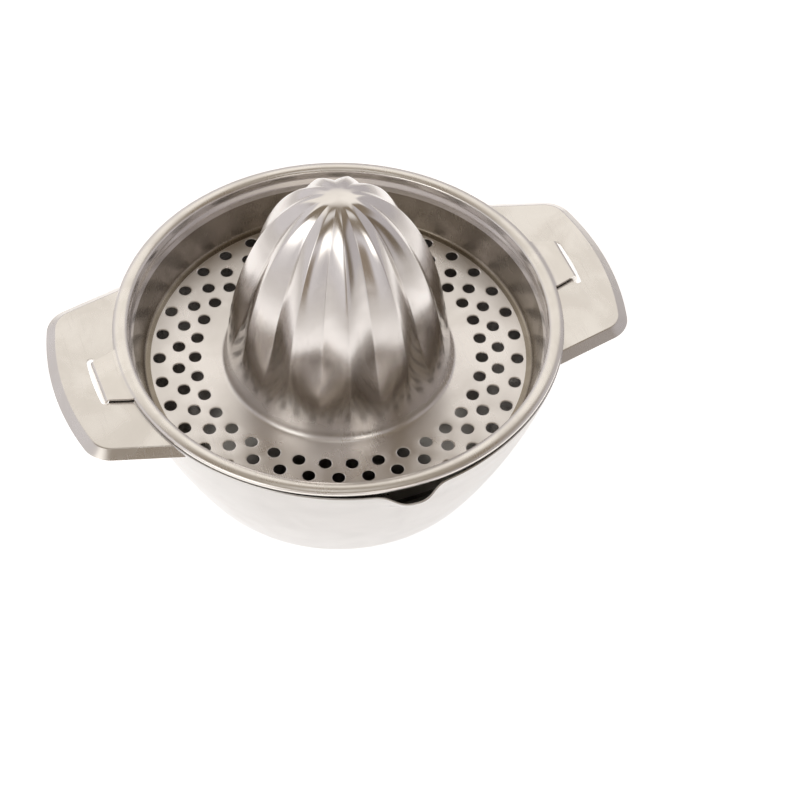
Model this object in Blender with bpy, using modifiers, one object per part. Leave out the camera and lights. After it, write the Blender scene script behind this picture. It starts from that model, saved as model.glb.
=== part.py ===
"""Two-piece hand citrus juicer in stainless steel sheet.

A deep-drawn bowl with two wing handles and a pouring lip carries a lift-off
strainer, whose middle is drawn up into a ribbed reamer.  Metres, +Z up.  The
origin is the centre of the bowl's foot, the handles lie along X and the
pouring lip points to -Y.
"""

import math

import bmesh
import bpy
from mathutils import Matrix, Vector

MM = 0.001

# Bowl
BOWL_HEIGHT = 58.3 * MM          # foot to the top of the rim and handles
RIM_RADIUS = 70.6 * MM           # outside of the rim
BOWL_SHEET = 0.8 * MM
WALL_TILT_TOP = math.radians(14.0)
WALL_TILT_BOTTOM = math.radians(26.5)
CORNER_RADIUS = 18.0 * MM        # outside of the bend into the foot
BOWL_SEGMENTS = 96

# Pouring lip, pressed outwards at the front of the rim
LIP_REACH = 3.2 * MM
LIP_DROP = 1.8 * MM
LIP_SPREAD = math.radians(5.5)
LIP_SQUARENESS = 3.0             # 2 is a round-topped bump, more is flatter
LIP_FADE = 11.0 * MM             # how far down the wall the pressing reaches
SHOULDER_REACH = 0.7 * MM
SHOULDER_DROP = 0.6 * MM
SHOULDER_SPREAD = math.radians(22.0)
SHOULDER_SQUARENESS = 2.0

# Handles, each a flat wing with its edge turned down
HANDLE_REACH = 17.3 * MM         # rim to the fold at the outer edge
HANDLE_HALF_WIDTH = 28.9 * MM    # half the width between folds, at mid reach
HANDLE_TAPER = 0.254             # half width lost per unit of reach
HANDLE_CORNER = 7.0 * MM
SKIRT_OUT = 3.0 * MM
SKIRT_DOWN = 2.0 * MM
HANDLE_ROOT = 0.4 * MM           # how far the wing is sunk into the wall
SKIRT_ROOT = 0.9 * MM            # the same for the skirt, where the wall is narrower

# Strainer: rim bead, wall and flat perforated floor
STRAINER_SHEET = 0.7 * MM
STRAINER_DEPTH = 15.0 * MM       # rim of the bowl down to the floor's top
BEAD_WIDTH = 4.6 * MM
BEAD_HEM = 0.5 * MM              # straight turned-down edge of the bead
BEAD_RISE = 1.0 * MM             # crown of the bead over its hem
BEAD_INSET = 0.4 * MM            # outer edge of the bead inside the bowl rim
NECK_HEIGHT = 1.5 * MM
LEDGE_WIDTH = 0.9 * MM
LEDGE_HEIGHT = 1.5 * MM
WALL_SLOPE = 0.26                # strainer wall, radius per unit of height
FLOOR_BEND = 1.6 * MM
STRAINER_SEGMENTS = 66           # six to each rib
SEAT_GAP = 0.3 * MM

# Perforations
HOLE_RADIUS = 2.0 * MM
HOLES_PER_RING = 35
RING_PITCH = 5.25 * MM
MOST_RINGS = 4
WALL_TO_RING = 4.7 * MM
FOOT_TO_RING = 8.0 * MM
HOLE_SIDES = 8
HOLE_PHASE = math.radians(0.16)

# Reamer
REAMER_RADIUS = 35.2 * MM
REAMER_HEIGHT = 68.4 * MM        # above the strainer floor
REAMER_FOOT_FLARE = 2.3 * MM
REAMER_FOOT_HEIGHT = 3.6 * MM
RIB_COUNT = 11
RIB_PHASE = math.radians(-3.6)
FLUTE_DEPTH = 3.1 * MM
CROWN_RADIUS = 6.2 * MM          # plain cap where the flutes start
FLUTE_RUN_IN = 14.0 * MM
FLUTE_END_HEIGHT = 11.0 * MM     # where the flutes run out above the floor
FLUTE_RUN_OUT = 12.5 * MM
SHOULDER_POWER = 2.32
CROWN_POWER = 1.62
REAMER_STEPS = 11

# Tabs on the strainer, their ends bent down through the handle slots
TAB_REACH = 7.5 * MM             # bead to the outer face of the bent end
TAB_ROOT_HALF = 10.6 * MM
TAB_TIP_HALF = 8.25 * MM
TAB_DROP = 4.3 * MM              # top of the tab to the tip of its bent end
TAB_TURN = math.radians(2.0)
SLOT_TURN = math.radians(1.3)
SLOT_END_GAP = 0.9 * MM
SLOT_OUTER_GAP = 1.0 * MM
CUT_MARGIN = 2.0 * MM

# Sizes that follow from the ones above
RIM_Z = BOWL_HEIGHT
FLOOR_Z = RIM_Z - STRAINER_DEPTH
FOLD_RADIUS = RIM_RADIUS + HANDLE_REACH
BEAD_OUTER = RIM_RADIUS - BEAD_INSET
BEAD_INNER = BEAD_OUTER - BEAD_WIDTH
RIM_CREST_Z = RIM_Z + BOWL_SHEET * math.sin(WALL_TILT_TOP)
BEAD_EDGE_Z = RIM_CREST_Z + SEAT_GAP
TAB_TOP_Z = BEAD_EDGE_Z + STRAINER_SHEET
TAB_FACE = BEAD_OUTER + TAB_REACH
TAB_REST_RADIUS = TAB_FACE - STRAINER_SHEET
SLOT_INNER = TAB_REST_RADIUS - SEAT_GAP
SLOT_OUTER = math.hypot(TAB_FACE, TAB_TIP_HALF) + SLOT_OUTER_GAP


def clear_scene():
    """Remove every object that the scene starts with."""
    for item in list(bpy.data.objects):
        bpy.data.objects.remove(item, do_unlink=True)


def make_collection(name):
    """Return a new collection linked to the scene."""
    collection = bpy.data.collections.new(name)
    bpy.context.scene.collection.children.link(collection)
    return collection


def make_steel(name, colour, roughness):
    """Return a Principled steel of one colour and roughness."""
    material = bpy.data.materials.new(name)
    material.use_nodes = True
    shader = material.node_tree.nodes["Principled BSDF"]
    shader.inputs["Base Color"].default_value = (*colour, 1.0)
    shader.inputs["Metallic"].default_value = 1.0
    shader.inputs["Roughness"].default_value = roughness
    return material


def add_object(mesh_data, name, collection, material=None):
    """Turn a bmesh into an object in a collection."""
    mesh = bpy.data.meshes.new(name)
    mesh_data.to_mesh(mesh)
    mesh_data.free()
    item = bpy.data.objects.new(name, mesh)
    collection.objects.link(item)
    if material is not None:
        mesh.materials.append(material)
        mesh.shade_smooth()
        mesh.set_sharp_from_angle(angle=math.radians(35.0))
    return item


def add_cutter(mesh_data, name, collection):
    """Turn a bmesh into a hidden guide for a Boolean."""
    item = add_object(mesh_data, name, collection)
    item.hide_render = True
    item.display_type = "WIRE"
    return item


def add_thickness(item, thickness):
    """Give an open surface a wall on the side its faces look away from."""
    wall = item.modifiers.new("Sheet", "SOLIDIFY")
    wall.thickness = thickness
    wall.offset = -1.0
    wall.use_even_offset = True


def add_boolean(item, other, operation):
    """Join or cut one object with another by the exact solver."""
    step = item.modifiers.new(other.name, "BOOLEAN")
    step.operation = operation
    step.solver = "EXACT"
    step.object = other


def arc_points(centre_r, centre_z, radius, start, end, steps):
    """Return points (r, z) along an arc, from one angle to another."""
    points = []
    for index in range(steps + 1):
        angle = start + (end - start) * index / steps
        points.append((centre_r + radius * math.cos(angle), centre_z + radius * math.sin(angle)))
    return points


def spin_profile(points, segments):
    """Turn a profile of (r, z) points round Z into an open surface.

    The profile starts at the outer edge and ends on the axis, so the seam
    and the pole are merged afterwards.
    """
    work = bmesh.new()
    verts = [work.verts.new((radius, 0.0, height)) for radius, height in points]
    edges = [work.edges.new(pair) for pair in zip(verts, verts[1:])]
    bmesh.ops.spin(
        work,
        geom=verts + edges,
        cent=(0.0, 0.0, 0.0),
        axis=(0.0, 0.0, 1.0),
        angle=2.0 * math.pi,
        steps=segments,
        use_duplicate=False,
    )
    bmesh.ops.remove_doubles(work, verts=work.verts, dist=0.01 * MM)
    return work


def face_surface(work, reference, outward):
    """Point an open surface's faces along a direction at its lowest or highest face."""
    bmesh.ops.recalc_face_normals(work, faces=work.faces)
    probe = min(work.faces, key=lambda face: (face.calc_center_median() - reference).length)
    if probe.normal.dot(outward) < 0.0:
        bmesh.ops.reverse_faces(work, faces=work.faces)


def bell(offset, spread, squareness):
    """Return a smooth bump, 1 in the middle and fading over the spread."""
    return math.exp(-(abs(offset / spread) ** squareness))


def bowl_profile():
    """Return the bowl's outside from the rim, down the wall, to the foot's centre.

    The wall is one long arc from its top tilt to its bottom tilt, and a
    short arc turns it into the flat foot.
    """
    bend_height = CORNER_RADIUS * (1.0 - math.sin(WALL_TILT_BOTTOM))
    wall_radius = (BOWL_HEIGHT - bend_height) / (math.sin(WALL_TILT_BOTTOM) - math.sin(WALL_TILT_TOP))
    wall_centre_r = RIM_RADIUS - wall_radius * math.cos(WALL_TILT_TOP)
    wall_centre_z = BOWL_HEIGHT + wall_radius * math.sin(WALL_TILT_TOP)
    wall = arc_points(wall_centre_r, wall_centre_z, wall_radius, -WALL_TILT_TOP, -WALL_TILT_BOTTOM, 6)
    foot_radius = wall[-1][0] - CORNER_RADIUS * math.cos(WALL_TILT_BOTTOM)
    bend = arc_points(foot_radius, CORNER_RADIUS, CORNER_RADIUS, -WALL_TILT_BOTTOM, -math.pi / 2.0, 5)
    return wall + bend[1:] + [(0.0, 0.0)]


def press_lip(work):
    """Press the pouring lip into the rim, a narrow bump on a broad shoulder."""
    for vert in work.verts:
        radius = math.hypot(vert.co.x, vert.co.y)
        if radius < CORNER_RADIUS:
            continue
        offset = math.atan2(vert.co.x, -vert.co.y)
        depth = max(0.0, 1.0 - (RIM_Z - vert.co.z) / LIP_FADE)
        fade = depth * depth * (3.0 - 2.0 * depth)
        narrow = bell(offset, LIP_SPREAD, LIP_SQUARENESS)
        broad = bell(offset, SHOULDER_SPREAD, SHOULDER_SQUARENESS)
        reach = fade * (LIP_REACH * narrow + SHOULDER_REACH * broad)
        drop = fade * (LIP_DROP * narrow + SHOULDER_DROP * broad)
        vert.co.x += reach * vert.co.x / radius
        vert.co.y += reach * vert.co.y / radius
        vert.co.z -= drop


def handle_side(along_x):
    """Return half the width of a wing at a distance along X."""
    mid_reach = RIM_RADIUS + HANDLE_REACH / 2.0
    return HANDLE_HALF_WIDTH - HANDLE_TAPER * (along_x - mid_reach)


def side_meets_circle(inset, radius):
    """Return the point where a wing's side, moved in by an inset, meets a circle round Z."""
    intercept = handle_side(0.0) - inset * math.hypot(1.0, HANDLE_TAPER)
    scale = 1.0 + HANDLE_TAPER ** 2
    half_b = HANDLE_TAPER * intercept
    x = (half_b + math.sqrt(half_b ** 2 - scale * (intercept ** 2 - radius ** 2))) / scale
    return x, intercept - HANDLE_TAPER * x


def fold_outline():
    """Return the fold's points from the root to the middle of the outer edge, at +Y.

    A straight tapering side and the outer arc meet in a rounded corner, whose
    centre lies a corner radius inside both.
    """
    centre_x, centre_y = side_meets_circle(HANDLE_CORNER, FOLD_RADIUS - HANDLE_CORNER)
    side_angle = math.atan2(1.0, HANDLE_TAPER)
    arc_angle = math.atan2(centre_y, centre_x)
    points = [side_meets_circle(0.0, RIM_RADIUS - HANDLE_ROOT)]
    points += arc_points(centre_x, centre_y, HANDLE_CORNER, side_angle, arc_angle, 5)
    points += arc_points(0.0, 0.0, FOLD_RADIUS, arc_angle, 0.0, 4)[1:]
    return points


def make_wing(name, collection, turn):
    """Build one handle: a flat wing whose outer edges are turned down."""
    upper = fold_outline()
    lower = [(x, -y) for x, y in reversed(upper[:-1])]
    outline = upper + lower
    skirt_x, skirt_y = side_meets_circle(-SKIRT_OUT, RIM_RADIUS - SKIRT_ROOT)
    hem = [(skirt_x, skirt_y)]
    for before, point, after in zip(outline, outline[1:], outline[2:]):
        along = (Vector(after) - Vector(before)).normalized()
        hem.append((point[0] - SKIRT_OUT * along.y, point[1] + SKIRT_OUT * along.x))
    hem.append((skirt_x, -skirt_y))
    work = bmesh.new()
    fold = [work.verts.new((x, y, RIM_Z)) for x, y in outline]
    edge = [work.verts.new((x, y, RIM_Z - SKIRT_DOWN)) for x, y in hem]
    root_radius = RIM_RADIUS - HANDLE_ROOT
    root_limit = math.atan2(outline[0][1], outline[0][0])
    root = []
    for index in range(1, 10):
        angle = root_limit * (index / 5.0 - 1.0)
        root.append(work.verts.new((root_radius * math.cos(angle), root_radius * math.sin(angle), RIM_Z)))
    work.faces.new(fold + root)
    for index in range(len(outline) - 1):
        work.faces.new((fold[index], edge[index], edge[index + 1], fold[index + 1]))
    face_surface(work, Vector((FOLD_RADIUS, 0.0, RIM_Z)), Vector((0.0, 0.0, 1.0)))
    bmesh.ops.rotate(work, verts=work.verts, cent=(0.0, 0.0, 0.0), matrix=Matrix.Rotation(turn, 3, "Z"))
    wing = add_cutter(work, name, collection)
    add_thickness(wing, BOWL_SHEET)
    return wing


def ring_sector(inner, outer, low, high, half_angle, centre_angle, steps):
    """Return a closed block between two radii, two heights and two angles."""
    work = bmesh.new()
    rim = []
    for index in range(steps + 1):
        angle = centre_angle + half_angle * (2.0 * index / steps - 1.0)
        rim.append((outer * math.cos(angle), outer * math.sin(angle)))
    for index in range(steps, -1, -1):
        angle = centre_angle + half_angle * (2.0 * index / steps - 1.0)
        rim.append((inner * math.cos(angle), inner * math.sin(angle)))
    base = work.faces.new([work.verts.new((x, y, low)) for x, y in rim])
    raised = bmesh.ops.extrude_face_region(work, geom=[base])
    moved = [item for item in raised["geom"] if isinstance(item, bmesh.types.BMVert)]
    bmesh.ops.translate(work, verts=moved, vec=(0.0, 0.0, high - low))
    bmesh.ops.recalc_face_normals(work, faces=work.faces)
    return work


def make_bowl(parts, cutters, material):
    """Build the bowl: drawn wall and foot, pouring lip, two wings and their slots."""
    work = spin_profile(bowl_profile(), BOWL_SEGMENTS)
    press_lip(work)
    face_surface(work, Vector((0.0, 0.0, 0.0)), Vector((0.0, 0.0, -1.0)))
    bowl = add_object(work, "juice_bowl", parts, material)
    add_thickness(bowl, BOWL_SHEET)
    slot_half = math.atan2(TAB_TIP_HALF, TAB_FACE) + SLOT_END_GAP / SLOT_OUTER + abs(TAB_TURN - SLOT_TURN)
    for side, turn in (("right", 0.0), ("left", math.pi)):
        add_boolean(bowl, make_wing(f"{side}_wing", cutters, turn), "UNION")
    for side, turn in (("right", 0.0), ("left", math.pi)):
        block = ring_sector(
            SLOT_INNER,
            SLOT_OUTER,
            RIM_Z - BOWL_SHEET - CUT_MARGIN,
            RIM_Z + CUT_MARGIN,
            slot_half,
            turn + SLOT_TURN,
            6,
        )
        add_boolean(bowl, add_cutter(block, f"{side}_slot", cutters), "DIFFERENCE")
    return bowl


def reamer_profile():
    """Return the reamer's rib line from its foot to the crown, as (r, z over the floor).

    The rib line is a superellipse quarter, standing on a short flared foot.
    """
    foot_r = REAMER_RADIUS + REAMER_FOOT_FLARE
    points = [(foot_r, 0.0)]
    for share in (0.35, 0.7):
        angle = share * math.pi / 2.0
        radius = REAMER_RADIUS + REAMER_FOOT_FLARE * (1.0 - math.sin(angle))
        points.append((radius, REAMER_FOOT_HEIGHT * (1.0 - math.cos(angle))))
    rise = REAMER_HEIGHT - REAMER_FOOT_HEIGHT
    for index in range(REAMER_STEPS, -1, -1):
        angle = math.pi / 2.0 * index / REAMER_STEPS
        radius = REAMER_RADIUS * math.sin(angle) ** (2.0 / SHOULDER_POWER)
        height = REAMER_FOOT_HEIGHT + rise * max(math.cos(angle), 0.0) ** (2.0 / CROWN_POWER)
        points.append((radius, height))
    return points


def strainer_profile():
    """Return the strainer's upper surface from the bead's outer edge to the crown."""
    half = BEAD_WIDTH / 2.0
    middle = BEAD_OUTER - half
    hem_top = BEAD_EDGE_Z + BEAD_HEM
    points = [(BEAD_OUTER, BEAD_EDGE_Z)]
    for index in range(7):
        angle = math.pi * index / 6.0
        points.append((middle + half * math.cos(angle), hem_top + BEAD_RISE * math.sin(angle)))
    neck_z = BEAD_EDGE_Z - NECK_HEIGHT
    ledge_z = neck_z - LEDGE_HEIGHT
    wall_top = BEAD_INNER - LEDGE_WIDTH
    wall_bottom = wall_top - WALL_SLOPE * (ledge_z - FLOOR_Z)
    points += [(BEAD_INNER, neck_z), (wall_top, ledge_z)]
    points += [(wall_bottom + WALL_SLOPE * FLOOR_BEND, FLOOR_Z + FLOOR_BEND)]
    points += [(wall_bottom - 0.3 * FLOOR_BEND, FLOOR_Z + 0.3 * FLOOR_BEND)]
    points += [(wall_bottom - FLOOR_BEND, FLOOR_Z)]
    points += [(radius, FLOOR_Z + height) for radius, height in reamer_profile()]
    return points


def floor_radius():
    """Return the radius of the strainer floor's flat part."""
    ledge_z = BEAD_EDGE_Z - NECK_HEIGHT - LEDGE_HEIGHT
    return BEAD_INNER - LEDGE_WIDTH - WALL_SLOPE * (ledge_z - FLOOR_Z) - FLOOR_BEND


def press_flutes(work):
    """Press the flutes between the ribs, round at the rib and sharp in the valley."""
    pitch = 2.0 * math.pi / RIB_COUNT
    for vert in work.verts:
        radius = math.hypot(vert.co.x, vert.co.y)
        height = vert.co.z - FLOOR_Z
        if radius > REAMER_RADIUS or radius < CROWN_RADIUS or height < FLUTE_END_HEIGHT:
            continue
        start = min(1.0, (radius - CROWN_RADIUS) / FLUTE_RUN_IN) ** 0.7
        finish = min(1.0, (height - FLUTE_END_HEIGHT) / FLUTE_RUN_OUT) ** 0.6
        turned = (math.atan2(vert.co.y, vert.co.x) - RIB_PHASE) / pitch
        from_rib = 2.0 * abs(turned - round(turned))
        depth = FLUTE_DEPTH * start * finish * (1.0 - math.cos(from_rib * math.pi / 2.0))
        vert.co.x *= 1.0 - depth / radius
        vert.co.y *= 1.0 - depth / radius


def make_tab(name, collection, turn):
    """Build one tab: a flat tongue whose end is bent straight down."""
    work = bmesh.new()
    root_x = BEAD_OUTER - STRAINER_SHEET
    stations = ((root_x, TAB_ROOT_HALF), (TAB_FACE, TAB_TIP_HALF))
    top = [[work.verts.new((x, side * half, TAB_TOP_Z)) for side in (-1.0, 1.0)] for x, half in stations]
    tip = [work.verts.new((TAB_FACE, side * TAB_TIP_HALF, TAB_TOP_Z - TAB_DROP)) for side in (-1.0, 1.0)]
    work.faces.new((top[0][0], top[1][0], top[1][1], top[0][1]))
    work.faces.new((top[1][0], tip[0], tip[1], top[1][1]))
    face_surface(work, Vector((TAB_FACE, 0.0, TAB_TOP_Z + STRAINER_SHEET)), Vector((0.0, 0.0, 1.0)))
    bmesh.ops.rotate(work, verts=work.verts, cent=(0.0, 0.0, 0.0), matrix=Matrix.Rotation(turn, 3, "Z"))
    tab = add_cutter(work, name, collection)
    add_thickness(tab, STRAINER_SHEET)
    return tab


def make_perforations(collection):
    """Build the punches for the rings of holes, each ring half a step round from the last."""
    outer = floor_radius() + FLOOR_BEND - WALL_TO_RING
    inner = min(REAMER_RADIUS + REAMER_FOOT_FLARE + FOOT_TO_RING, outer)
    rings = min(1 + int((outer - inner) / RING_PITCH + 0.5), MOST_RINGS)
    work = bmesh.new()
    step = 2.0 * math.pi / HOLES_PER_RING
    for ring in range(rings):
        share = ring / (rings - 1) if rings > 1 else 0.0
        radius = inner * (outer / inner) ** share
        for index in range(HOLES_PER_RING):
            angle = HOLE_PHASE + step * (index + 0.5 * (ring % 2))
            place = Matrix.Translation((radius * math.cos(angle), radius * math.sin(angle), FLOOR_Z))
            turn = Matrix.Rotation(angle + math.pi / HOLE_SIDES, 4, "Z")
            bmesh.ops.create_cone(
                work,
                cap_ends=True,
                segments=HOLE_SIDES,
                radius1=HOLE_RADIUS,
                radius2=HOLE_RADIUS,
                depth=STRAINER_SHEET + 2.0 * CUT_MARGIN,
                matrix=place @ turn,
            )
    return add_cutter(work, "perforations", collection)


def make_strainer(parts, cutters, material):
    """Build the strainer and its reamer from one sheet, with tabs and perforations."""
    work = spin_profile(strainer_profile(), STRAINER_SEGMENTS)
    bmesh.ops.rotate(work, verts=work.verts, cent=(0.0, 0.0, 0.0), matrix=Matrix.Rotation(RIB_PHASE, 3, "Z"))
    press_flutes(work)
    crown = Vector((0.0, 0.0, FLOOR_Z + REAMER_HEIGHT))
    face_surface(work, crown, Vector((0.0, 0.0, 1.0)))
    strainer = add_object(work, "reamer_strainer", parts, material)
    add_thickness(strainer, STRAINER_SHEET)
    for side, turn in (("right", 0.0), ("left", math.pi)):
        add_boolean(strainer, make_tab(f"{side}_tab", cutters, turn + TAB_TURN), "UNION")
    add_boolean(strainer, make_perforations(cutters), "DIFFERENCE")
    return strainer


def main():
    """Build the juicer."""
    clear_scene()
    parts = make_collection("citrus_juicer")
    cutters = make_collection("cutters")
    satin = make_steel("satin_steel", (0.78, 0.76, 0.73), 0.32)
    bright = make_steel("bright_steel", (0.74, 0.71, 0.68), 0.16)
    make_bowl(parts, cutters, satin)
    make_strainer(parts, cutters, bright)


main()
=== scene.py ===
"""Looks of the two-piece hand citrus juicer: a drawn steel bowl and its lift-off ribbed strainer.

Metres, +Z up.  The origin is the centre of the bowl's foot, the handles lie along X and the
pouring lip points to -Y.  Surfaces are numpy grids over two parameters; only the handles' flats, their
ends and the band round the reamer are filled with triangles.
"""

import logging
import math
from dataclasses import dataclass, field
from enum import Enum, IntEnum

import bpy
import numpy as np
from mathutils import Matrix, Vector
from mathutils.geometry import delaunay_2d_cdt

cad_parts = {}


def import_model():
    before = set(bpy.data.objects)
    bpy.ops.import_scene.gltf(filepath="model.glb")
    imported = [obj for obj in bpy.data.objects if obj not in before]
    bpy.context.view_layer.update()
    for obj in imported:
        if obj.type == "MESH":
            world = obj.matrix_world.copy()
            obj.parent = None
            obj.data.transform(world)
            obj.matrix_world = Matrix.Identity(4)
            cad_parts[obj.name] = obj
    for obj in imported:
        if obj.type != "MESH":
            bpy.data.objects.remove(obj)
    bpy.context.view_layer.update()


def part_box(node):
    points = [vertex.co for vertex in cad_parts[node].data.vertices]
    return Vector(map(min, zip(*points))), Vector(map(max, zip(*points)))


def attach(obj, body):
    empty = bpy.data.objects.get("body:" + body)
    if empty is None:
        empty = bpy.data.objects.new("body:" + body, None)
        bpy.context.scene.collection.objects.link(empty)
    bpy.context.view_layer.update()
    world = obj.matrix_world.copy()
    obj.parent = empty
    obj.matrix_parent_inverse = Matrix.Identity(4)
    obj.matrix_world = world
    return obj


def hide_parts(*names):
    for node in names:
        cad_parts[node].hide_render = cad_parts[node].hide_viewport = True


MM = 0.001
SHARP_ANGLE = math.radians(38.0)
WELD_DIGITS = 7
QUARTER_TURN = 0.25
CORNER_SHARE = 0.45
INSIDE_ONLY = 1
FLAT_TOLERANCE = 1e-9
LOG = logging.getLogger("juicer")

Colour = tuple[float, float, float]


class Slot(Enum):
    """Material slot names, listed with each piece; nothing here reads them."""

    SATIN = "satin_steel"
    BRIGHT = "bright_steel"


class Skin(IntEnum):
    """The strainer's finishes by number; the sheet's back takes the last."""

    BRIGHT = 0
    BEAD = 1
    WALL = 2


class Side(Enum):
    """The two sides of the juicer, each with its turn round Z."""

    RIGHT = 0.0
    LEFT = math.pi


# ---------------------------------------------------------------- curves and grids


def arc(centre: tuple[float, float], radius: float, start: float, end: float, steps: int) -> np.ndarray:
    """Points on a circle: centre + radius * (cos a, sin a), with a from start to end.

    Args:
        centre: The circle's centre.
        radius: The circle's radius.
        start: First angle, in radians.
        end: Last angle, in radians.
        steps: Number of steps between them.

    Returns:
        An array of steps + 1 points, (n, 2).
    """
    angle = np.linspace(start, end, steps + 1)
    return np.stack([centre[0] + radius * np.cos(angle), centre[1] + radius * np.sin(angle)], -1)


def resample(points: np.ndarray, count: int, weight: np.ndarray | None = None) -> np.ndarray:
    """Spread points along a polyline, evenly by length or more densely where the weight is high.

    Args:
        points: The polyline, (n, d).
        count: Number of points wanted.
        weight: Density wanted on each step of the polyline, (n - 1,).

    Returns:
        An array (count, d), its ends on the polyline's ends.
    """
    step = np.linalg.norm(np.diff(points, axis=0), axis=1)
    if weight is not None:
        step = step * weight
    along = np.concatenate([[0.0], np.cumsum(step)])
    wanted = np.linspace(0.0, along[-1], count)
    return np.stack([np.interp(wanted, along, column) for column in points.T], -1)


def offset_profile(points: np.ndarray, distance: float) -> np.ndarray:
    """Move a profile sideways: p + distance * (t_z, -t_r), where t is the tangent.

    Args:
        points: The profile, (n, 2) as (r, z).
        distance: How far, positive to the right of the way it runs.

    Returns:
        The moved profile, (n, 2).
    """
    tangent = np.gradient(points, axis=0)
    tangent /= np.linalg.norm(tangent, axis=1, keepdims=True)
    return points + distance * np.stack([tangent[:, 1], -tangent[:, 0]], -1)


def smooth(low: float, high: float, value: np.ndarray) -> np.ndarray:
    """Smooth step: 3t^2 - 2t^3 with t = (value - low) / (high - low), held to 0..1."""
    t = np.clip((value - low) / (high - low), 0.0, 1.0)
    return t * t * (3.0 - 2.0 * t)


def turned(points: np.ndarray, angle: float) -> np.ndarray:
    """Turn points (n, 3) round Z by an angle."""
    c, s = math.cos(angle), math.sin(angle)
    return points @ np.array([[c, s, 0.0], [-s, c, 0.0], [0.0, 0.0, 1.0]])


def spun(radius: np.ndarray, height: np.ndarray, angle: np.ndarray) -> np.ndarray:
    """Points (r cos a, r sin a, z) for arrays of radius, height and angle that broadcast."""
    radius, height, angle = np.broadcast_arrays(radius, height, angle)
    return np.stack([radius * np.cos(angle), radius * np.sin(angle), height], -1)


@dataclass
class Sheet:
    """Surfaces gathered piece by piece, welded, and made one mesh."""

    points: list[np.ndarray] = field(default_factory=list)
    faces: list[np.ndarray] = field(default_factory=list)
    finishes: list[np.ndarray] = field(default_factory=list)
    count: int = 0

    def add(self, points: np.ndarray, faces: np.ndarray, finish: int = 0) -> None:
        """Add loose points and faces.

        Args:
            points: Points, (n, 3).
            faces: Corners of each face, (m, 3) or (m, 4).
            finish: Number of the material of these faces.
        """
        self.points.append(points.reshape(-1, 3))
        self.faces.append(np.asarray(faces) + self.count)
        self.finishes.append(np.full(len(faces), finish))
        self.count += points.reshape(-1, 3).shape[0]

    def add_grid(self, grid: np.ndarray, closed: bool = False, finish: int = 0) -> None:
        """Add a grid of points (rows, columns, 3); its faces look along rows x columns.

        Args:
            grid: The points.
            closed: Whether the last column joins the first.
            finish: Number of the material of these faces.
        """
        rows, columns = grid.shape[:2]
        index = np.arange(rows * columns).reshape(rows, columns)
        after = np.roll(index, -1, axis=1)
        if not closed:
            index, after = index[:, :-1], after[:, :-1]
        faces = np.stack([index[:-1], index[1:], after[1:], after[:-1]], -1)
        self.add(grid, faces.reshape(-1, 4), finish)

    def add_zip(self, outer: np.ndarray, inner: np.ndarray, outer_angle: np.ndarray,
                inner_angle: np.ndarray, finish: int = 0) -> None:
        """Join two closed rings of unlike counts by one band of triangles, merged by angle.

        Args:
            outer: Outer ring, (n, 3), in order of angle.
            inner: Inner ring, (m, 3), in order of angle.
            outer_angle: Angles of the outer points, rising.
            inner_angle: Angles of the inner points, rising.
            finish: Number of the material of these faces.
        """
        n, m = len(outer), len(inner)
        angle = np.concatenate([outer_angle, inner_angle])
        is_outer = np.concatenate([np.ones(n, bool), np.zeros(m, bool)])
        order = np.lexsort((~is_outer, angle))
        is_outer = is_outer[order]
        last_outer = np.cumsum(is_outer) - 1
        last_inner = np.cumsum(~is_outer) - 1
        a0 = np.where(is_outer, last_outer - 1, last_outer) % n
        b0 = np.where(is_outer, last_inner, last_inner - 1) % m
        new = np.where(is_outer, last_outer % n, n + last_inner % m)
        self.add(np.concatenate([outer, inner]), np.stack([a0, new, n + b0], -1), finish)

    def mesh(self, name: str) -> bpy.types.Mesh:
        """Weld the gathered surfaces and return them as one mesh.

        A four-sided face with one side of no length becomes a triangle; a flatter one is dropped.

        Args:
            name: Name of the mesh.

        Returns:
            The welded mesh, its faces numbered by finish.
        """
        points = np.concatenate(self.points)
        _, first, place = np.unique(np.round(points, WELD_DIGITS), axis=0, return_index=True,
                                    return_inverse=True)
        place = place.reshape(-1)
        faces: list[list[int]] = []
        finishes: list[np.ndarray] = []
        for corners, finish in zip(self.faces, self.finishes):
            corners = place[corners]
            same = corners == np.roll(corners, -1, axis=1)
            whole = ~same.any(axis=1)
            faces += corners[whole].tolist()
            finishes.append(finish[whole])
            if corners.shape[1] == 4:
                single = same.sum(axis=1) == 1
                kept = ~same[single]
                faces += corners[single][kept].reshape(-1, 3).tolist()
                finishes.append(finish[single])
        mesh = bpy.data.meshes.new(name)
        mesh.from_pydata(points[first].tolist(), [], faces)
        mesh.polygons.foreach_set("material_index", np.concatenate(finishes).astype(np.int32))
        mesh.update()
        return mesh


def apply_modifiers(piece: bpy.types.Object) -> None:
    """Replace the object's mesh by what its modifiers make of it."""
    bpy.context.view_layer.update()
    made = bpy.data.meshes.new_from_object(piece.evaluated_get(bpy.context.evaluated_depsgraph_get()))
    piece.modifiers.clear()
    piece.data = made
    made.name = piece.name


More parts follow.
